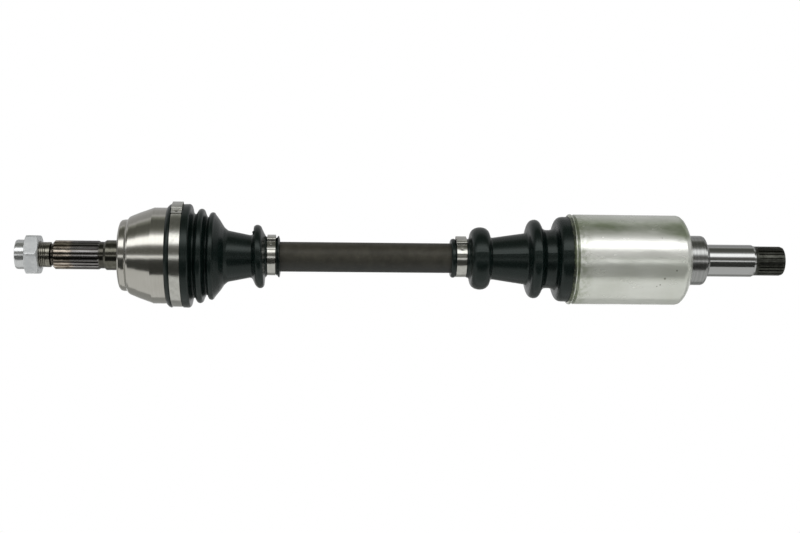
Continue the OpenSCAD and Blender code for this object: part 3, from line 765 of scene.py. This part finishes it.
def split_lathe(whole, K, N, parts, mat):
    """Cuts a closed lathe of K rings into pieces. Each part is (name, ring indices in order along the section), and gets a wall at each cut.
    The normals come from the whole, so no seam shows."""
    me = whole.data
    nor = corner_normals(me)
    co = np.zeros(len(me.vertices) * 3)
    me.vertices.foreach_get("co", co)
    co = co.reshape(-1, 3)
    polys = [tuple(p.vertices) for p in me.polygons]
    starts = [p.loop_start for p in me.polygons]
    made = []
    for name, runs in parts:
        strips = set()
        for run in runs:
            strips |= {(a, b) for a, b in zip(run, run[1:])}
        faces, normals, used = [], [], {}
        verts = []

        def vid(v):
            if v not in used:
                used[v] = len(verts)
                verts.append(co[v].tolist())
            return used[v]

        for poly, s in zip(polys, starts):
            ks = sorted({v // N for v in poly})
            pair = (ks[0], ks[-1])
            if pair == (0, K - 1):
                pair = (K - 1, 0)
            if pair in strips:
                faces.append([vid(v) for v in poly])
                normals += [nor[s + i] for i in range(len(poly))]
        # walls across the rubber at each cut, between consecutive runs
        for i in range(len(runs)):
            a, b = runs[i][-1], runs[(i + 1) % len(runs)][0]
            if a == b or (b, a) in strips or (a, b) in strips:
                continue
            ra = np.arange(N) + a * N
            rb = np.arange(N) + b * N
            c = co[ra].mean(0)
            body = co[[v for v in used]].mean(0)
            for n in range(N):
                quad = [int(ra[n]), int(rb[n]), int(rb[(n + 1) % N]), int(ra[(n + 1) % N])]
                v = co[quad]
                nn = np.cross(v[1] - v[0], v[2] - v[0]) + np.cross(v[2] - v[0], v[3] - v[0])
                nn /= max(np.linalg.norm(nn), 1e-12)
                if nn[0] * (c[0] - body[0]) < 0:
                    quad, nn = quad[::-1], -nn
                faces.append([vid(q) for q in quad])
                normals += [nn] * 4
        m2 = D.meshes.new(name)
        m2.from_pydata(verts, [], faces)
        m2.update()
        m2.polygons.foreach_set("use_smooth", np.ones(len(m2.polygons), bool))
        m2.normals_split_custom_set([list(map(float, x)) for x in normals])
        m2.materials.append(mat)
        made.append(link(m2, name))
    D.objects.remove(whole)
    return made


def make_boot(prefix, node, outer, inner, cuts, bodies, spans, shape, n):
    """outer and inner are (r, x) lines, both from left to right. cuts are stations where the boot is split."""
    for c in cuts:
        outer, inner = insert_at(outer, c), insert_at(inner, c)
    prof = outer + inner[::-1]
    K = len(prof)
    whole = lathe(prefix, prof, around(n), [M["rubber"]], closed=True, sharp=48, shape=shape)
    xo = [p[1] for p in outer]
    xi = [p[1] for p in inner]

    def o_at(x):
        return min((i for i in range(len(outer))), key=lambda i: abs(xo[i] - x))

    def i_at(x):
        j = min((i for i in range(len(inner))), key=lambda i: abs(xi[i] - x))
        return K - 1 - j

    edges = [None, *cuts, None]
    parts = []
    for q in range(len(edges) - 1):
        lo, hi = edges[q], edges[q + 1]
        a = 0 if lo is None else o_at(lo)
        b = len(outer) - 1 if hi is None else o_at(hi)
        c = len(outer) if hi is None else i_at(hi)
        d = K - 1 if lo is None else i_at(lo)
        if lo is None and hi is not None:
            runs = [list(range(c, K)) + list(range(0, b + 1))]
        elif lo is not None and hi is None:
            runs = [list(range(a, d + 1))]
        else:
            runs = [list(range(a, b + 1)), list(range(c, d + 1))]
        parts.append(("%s_%d" % (prefix, q + 1), runs))
    obs = split_lathe(whole, K, n, parts, M["rubber"])
    for ob, (ba, bb), (s, e) in zip(obs, bodies, spans):
        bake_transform(ob)
    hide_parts(node)
    return obs


def outer_boot():
    outer = rounded([(38.13, -189.4), (38.8, -189.4, 0.3), (40.4, -187.9, 1.0), (41.07, -186.6, 0.7), (41.07, -185.75, 0.2), (39.6, -185.6, 0.1), (39.55, -181.0)], 4)
    outer += rounded([(39.55, -178.0), (39.6, -176.95, 0.1), (41.0, -176.8, 0.25), (41.1, -175.0)], 4)
    outer += arc(38.95, -172.9, 2.2, 84, 168, 10)
    outer += rounded([(36.5, -170.5), (33.7, -168.9, 0.7), (33.2, -168.1, 0.9), (33.7, -167.2, 0.7), (34.9, -166.5)], 5)
    outer += arc(34.75, -163.5, 2.75, 14, 166, 18)
    outer += rounded([(34.2, -160.4), (31.4, -159.1, 0.8), (30.75, -158.3, 0.9), (31.4, -157.6, 0.8), (32.4, -156.9)], 5)
    outer += arc(32.3, -154.6, 2.5, 22, 128, 14)
    outer += rounded([(33.3, -152.6), (27.9, -148.4, 2.5), (22.8, -145.1, 5.0), (20.4, -142.2, 4.0), (19.6, -138.0), (17.0, -125.0, 1.0), (17.15, -123.6, 1.2), (18.6, -122.4)], 6)
    outer += arc(21.75, -117.9, 3.5, 12, 168, 20)
    outer += rounded([(18.2, -113.3), (16.9, -112.8, 0.8), (16.0, -112.1, 0.5), (15.7, -111.5, 0.2), (13.97, -111.35, 0.1), (13.95, -108.0), (13.97, -104.3, 0.1), (14.7, -104.2, 0.25), (14.9, -103.35, 0.5), (15.9, -102.75, 0.35), (16.35, -102.3, 0.35), (16.3, -101.7, 0.25), (14.2, -101.3, 0.3), (12.0, -101.2)], 4)
    outer = refine(outer, 1.3)
    inner = [(38.13, -189.4), (38.13, -174.2), (37.4, -172.8), (31.9, -169.6), (31.3, -168.1), (31.7, -166.7)]
    inner += arc(34.75, -163.5, 0.7, 20, 160, 2)
    inner += [(29.4, -159.8), (28.8, -158.3), (29.4, -156.9)]
    inner += arc(32.3, -154.6, 0.5, 30, 130, 2)
    inner += [(26.3, -149.6), (21.0, -146.6), (18.8, -144.0), (15.0, -124.9), (15.2, -122.6)]
    inner += arc(21.75, -117.9, 1.5, 10, 170, 6)
    inner += [(15.0, -114.0), (14.0, -112.9), (11.97, -112.2), (11.97, -101.2)]
    inner = refine(inner, 2.0)
    outer[0] = (38.5, -189.4)
    outer[-1] = (12.4, -101.2)

    def shape(R, X, th):
        z = R * np.cos(th)
        lean = 0.010 * window(X, -167.0, -150.0, 3.0) - 0.050 * window(X, -120.5, -114.6, 2.0)
        # mould nib on the bead, flash line along the mould's parting plane, and a lip that isn't quite round
        out = (np.arange(R.shape[0])[:, None] < len(outer)) * 1.0
        nib = gauss(X + 121.2, 0.75) * gauss(dtheta(th, 37.0) * 24.0, 0.95) * (R > 22.0) * out
        nib2 = gauss(X + 115.6, 0.9) * gauss(dtheta(th, 205.0) * 24.0, 1.1) * (R > 22.0) * out
        flash = (gauss(dtheta(th, 90.0) * R, 0.30) + gauss(dtheta(th, 270.0) * R, 0.30)) * out * 0.10 * (window(X, -175.0, -113.0, 1.0))
        lip = window(X, -104.2, -101.0, 0.3) * out * (R > 14.5)
        dr = 1.0 * nib + 0.6 * nib2 + flash + lip * (0.22 * np.sin(2 * th + 0.9) + 0.12 * np.sin(5 * th))
        dx = lean * z - 0.9 * nib + lip * (0.25 * np.sin(3 * th + 2.0) - 0.03 * z)
        return R + dr, X + dx

    make_boot("outer_boot_v", "outer_boot", outer, inner, [-168.1],
              [("outer_bell", "outer_boot"), ("outer_boot", "shaft")], [(-176.6, -168.5), (-167.9, -141.0)], shape, 240)


def inner_boot():
    outer = rounded([(12.4, 35.1), (14.6, 35.1, 0.2), (15.5, 36.1, 0.5), (15.65, 37.7, 0.8), (14.9, 39.0, 0.2), (14.17, 39.1, 0.1), (14.15, 43.0), (14.17, 47.5, 0.1), (15.2, 47.6, 0.3), (15.75, 49.5, 1.0),
                     (17.6, 50.55, 1.5), (20.6, 51.1, 2.5), (22.6, 52.2, 4.0), (24.2, 54.4, 5.0), (24.95, 57.2, 6.0), (25.05, 59.3, 6.0), (24.8, 61.3, 6.0), (24.05, 63.3, 5.0),
                     (22.3, 65.3, 3.0), (20.0, 66.2, 3.0), (17.7, 66.85, 2.0), (16.85, 67.8, 1.2), (16.85, 69.4, 2.0), (18.8, 82.0), (20.6, 94.2, 2.0), (21.4, 95.7, 1.5),
                     (24.0, 96.55, 3.0), (27.0, 97.05, 4.0), (29.0, 97.8, 3.0), (30.5, 98.85, 4.0), (31.4, 100.3, 4.0), (31.8, 102.2, 5.0), (31.7, 103.6, 5.0), (31.15, 104.95, 4.0),
                     (30.0, 106.05, 4.0), (28.3, 107.0, 4.0), (26.5, 107.75, 4.0), (25.0, 108.8, 2.5), (23.95, 110.15, 2.0), (23.55, 111.8, 3.0), (23.55, 114.6, 3.0), (23.95, 116.5, 3.0),
                     (24.7, 117.85, 1.5), (26.0, 118.75, 2.0), (30.0, 119.3, 4.0), (32.0, 120.2, 3.0), (33.3, 121.4, 3.0), (34.0, 122.9, 3.0), (34.27, 124.8, 4.0), (34.27, 127.0)], 4)
    outer += rounded([(34.27, 128.5), (34.25, 134.5, 0.2), (34.85, 134.62, 0.1), (34.85, 136.43, 0.1), (30.0, 136.43)], 3)
    outer = refine(outer, 1.5)
    inner = [(11.97, 35.1), (11.97, 48.8), (13.7, 50.6), (15.0, 52.3), (19.4, 53.0), (21.1, 54.2), (22.5, 56.0), (23.0, 58.4), (23.0, 60.2), (22.3, 62.2), (20.9, 63.8), (18.8, 64.4),
             (15.9, 65.2), (15.0, 66.6), (14.8, 69.2), (18.5, 94.9), (19.4, 97.2), (23.9, 98.4), (26.6, 98.9), (28.3, 99.6), (29.4, 100.9), (29.8, 102.3), (29.6, 103.4), (28.7, 104.5),
             (27.2, 105.3), (25.3, 106.1), (23.4, 107.4), (22.0, 109.5), (21.6, 111.3), (21.6, 115.1), (22.2, 117.6), (23.6, 120.3), (29.3, 121.2), (31.2, 122.4), (32.1, 124.1), (32.3, 125.6),
             (32.3, 134.2), (29.4, 134.25), (29.4, 136.43)]
    inner = refine(inner, 2.2)

    def shape(R, X, th):
        out = (np.arange(R.shape[0])[:, None] < len(outer)) * 1.0
        flash = (gauss(dtheta(th, 78.0) * R, 0.30) + gauss(dtheta(th, 258.0) * R, 0.30)) * out * 0.10 * window(X, 50.0, 127.0, 1.0)
        lip = window(X, 34.0, 39.0, 0.3) * out * (R > 13.0)
        nib = gauss(X - 61.0, 0.9) * gauss(dtheta(th, 196.0) * 25.0, 1.1) * (R > 22.0) * out
        soft = 0.10 * np.sin(2 * th + 0.5 + X / 30.0) * window(X, 52.0, 126.0, 6.0) * out
        dr = flash + soft + 0.6 * nib + lip * (0.10 * np.sin(2 * th + 0.4) + 0.07 * np.sin(5 * th))
        return R + dr, X

    make_boot("inner_boot_v", "inner_boot", outer, inner, [98.0, 110.0],
              [("shaft", "inner_boot"), ("inner_boot", "inner_grease"), ("inner_grease", "inner_housing")],
              [(56.0, 98.0), (98.0, 110.0), (110.0, 134.5)], shape, 240)


outer_boot()
inner_boot()


# ------------------------------------------------------------------ grease
def grease(name, node, prof, seed, n=120):
    prof = refine(prof + [prof[0]], 0.8)[:-1]
    cx = sum(p[1] for p in prof) / len(prof)
    cr = sum(p[0] for p in prof) / len(prof)

    def shape(R, X, th):
        u = 0.35 * np.sin(3 * th + seed) + 0.25 * np.sin(7 * th + 2 * seed + X / 3.0) + 0.2 * np.sin(11 * th + X / 1.7 + seed)
        k = 1.0 - 0.18 * (0.8 - u)
        return cr + (R - cr) * k, cx + (X - cx) * k

    ob = lathe(name, prof, around(n), [M["grease"]], closed=True, sharp=70, shape=shape)
    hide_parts(node)
    return ob


g = grease("outer_grease_pack", "outer_grease", [(18.2, -173.0), (22.5, -173.2), (24.0, -171.2), (23.6, -168.6), (21.0, -167.4), (18.6, -168.4)], 0.7)
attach(g, "outer_grease")
g = grease("inner_grease_pack", "inner_grease", [(20.6, 123.0), (24.0, 122.2), (27.8, 124.0), (28.6, 127.6), (26.6, 131.4), (22.6, 132.8), (20.4, 128.6)], 2.1)
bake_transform(g)


# ------------------------------------------------------------------ camera
def camera():
    cam = D.cameras.new("camera")
    cam.lens, cam.sensor_width = 60.75, 36.0
    cam.clip_start, cam.clip_end = 0.05, 60.0
    ob = D.objects.new("camera", cam)
    scene.collection.objects.link(ob)
    yaw, pitch, roll = math.radians(3.56), math.radians(-0.371), math.radians(0.52)
    f = Vector((math.sin(yaw) * math.cos(pitch), math.cos(yaw) * math.cos(pitch), math.sin(pitch)))
    r0 = f.cross(Vector((0, 0, 1))).normalized()
    u0 = r0.cross(f)
    r = r0 * math.cos(roll) + u0 * math.sin(roll)
    u = r.cross(f)
    m = Matrix((r, u, -f)).transposed().to_4x4()
    m.translation = Vector((-0.0725, -1.080, 0.0))
    ob.matrix_world = m
    scene.camera = ob


camera()


# ------------------------------------------------------------------ studio
def studio():
    me = D.meshes.new("floor")
    me.from_pydata([(-9, -12, -1.0), (9, -12, -1.0), (9, 3.4, -1.0), (-9, 3.4, -1.0)], [], [(0, 1, 2, 3)])
    me.materials.append(m_floor())
    floor = link(me, "floor")
    me = D.meshes.new("flag")
    me.from_pydata([(-6, -7.2, -0.995), (6, -7.2, -0.995), (6, -0.95, -0.995), (-6, -0.95, -0.995)], [], [(0, 1, 2, 3)])
    t = Tree("flag_cloth")
    t.set(Base_Color=t.mix(t.noise(0.02, 3.0), (0.045, 0.047, 0.042), (0.065, 0.068, 0.06)), Roughness=0.9)
    me.materials.append(t.mat)
    flag = link(me, "flag")
    me = D.meshes.new("flag_back")
    me.from_pydata([(-6, 0.52, -0.995), (6, 0.52, -0.995), (6, 3.3, -0.995), (-6, 3.3, -0.995)], [], [(0, 1, 2, 3)])
    t = Tree("flag_back_cloth")
    t.set(Base_Color=t.mix(t.noise(0.02, 3.0), (0.60, 0.605, 0.595), (0.66, 0.665, 0.655)), Roughness=0.9)
    me.materials.append(t.mat)
    back = link(me, "flag_back")
    for card in (flag, back):
        card.visible_camera = False
        card.visible_diffuse = False
        card.visible_shadow = False

    # world: an even white studio for the camera, with soft boxes and flags as broad bands over the axle for reflections
    w = D.worlds.new("studio")
    scene.world = w
    w.use_nodes = True
    nt = w.node_tree
    nt.nodes.clear()
    out = nt.nodes.new("ShaderNodeOutputWorld")
    tc = nt.nodes.new("ShaderNodeTexCoord")
    sep = nt.nodes.new("ShaderNodeSeparateXYZ")
    nt.links.new(tc.outputs["Generated"], sep.inputs[0])

    def mth(op, a, b=0.0, c=0.0):
        n = nt.nodes.new("ShaderNodeMath")
        n.operation = op
        for i, v in enumerate((a, b, c)):
            if isinstance(v, (int, float)):
                n.inputs[i].default_value = v
            else:
                nt.links.new(v, n.inputs[i])
        return n.outputs[0]

    x, y, z = sep.outputs
    # the front boxes curve round towards the ends of the axle
    front = mth("MULTIPLY", y, -1.0)
    front = mth("ADD", front, mth("MULTIPLY", mth("MULTIPLY", mth("MULTIPLY", x, x), 0.6), mth("MAXIMUM", front, 0.0)))
    phi = mth("ARCTAN2", z, front)
    fac = mth("ADD", mth("DIVIDE", phi, 2 * math.pi), 0.5)
    ramp = nt.nodes.new("ShaderNodeValToRGB")
    ramp.color_ramp.interpolation = "LINEAR"
    nt.links.new(fac, ramp.inputs[0])

    def stop(deg, grey, warm=0.0, green=0.0):
        return ((deg + 180) / 360, (grey * (1 + warm), grey * (1 + green), grey * (1 - warm - green), 1.0))

    bands = [
        stop(-180, 0.75), stop(-15, 0.75), stop(-8, 0.9), stop(-4.6, 1.5), stop(-1.4, 1.5), stop(0.6, 0.32), stop(3, 0.15, 0.04, 0.03), stop(16, 0.15, 0.04, 0.03),
        stop(23, 0.34, 0.02), stop(29.5, 2.2), stop(46, 2.2), stop(53, 0.62), stop(61, 0.22, 0.03, 0.05), stop(70, 0.14, 0.03, 0.05), stop(93, 0.13, 0.03, 0.05),
        stop(104, 0.34, 0.02, 0.05), stop(108, 0.62), stop(113, 0.62), stop(118, 0.44), stop(150, 0.52), stop(180, 0.52),
    ]
    cr = ramp.color_ramp
    while len(cr.elements) > 1:
        cr.elements.remove(cr.elements[-1])
    cr.elements[0].position, cr.elements[0].color = bands[0]
    for pos, col in bands[1:]:
        e = cr.elements.new(min(pos, 1.0))
        e.color = col
    # towards the ends of the axle the room is an even light grey
    ends = nt.nodes.new("ShaderNodeMix")
    ends.data_type = "RGBA"
    nt.links.new(mth("MINIMUM", mth("MAXIMUM", mth("DIVIDE", mth("SUBTRACT", mth("ABSOLUTE", x), 0.86), 0.1), 0.0), 1.0), ends.inputs["Factor"])
    nt.links.new(ramp.outputs[0], ends.inputs[6])
    ends.inputs[7].default_value = (0.24, 0.24, 0.235, 1.0)
    bg = nt.nodes.new("ShaderNodeBackground")
    nt.links.new(ends.outputs[2], bg.inputs[0])
    bg.inputs[1].default_value = 1.0
    white = nt.nodes.new("ShaderNodeBackground")
    white.inputs[0].default_value = (1.0, 1.0, 1.0, 1.0)
    white.inputs[1].default_value = 1.0
    lp = nt.nodes.new("ShaderNodeLightPath")
    mixs = nt.nodes.new("ShaderNodeMixShader")
    nt.links.new(lp.outputs["Is Camera Ray"], mixs.inputs[0])
    nt.links.new(bg.outputs[0], mixs.inputs[1])
    nt.links.new(white.outputs[0], mixs.inputs[2])
    nt.links.new(mixs.outputs[0], out.inputs[0])

    scene.view_settings.view_transform = "Standard"
    scene.view_settings.look = "None"


studio()
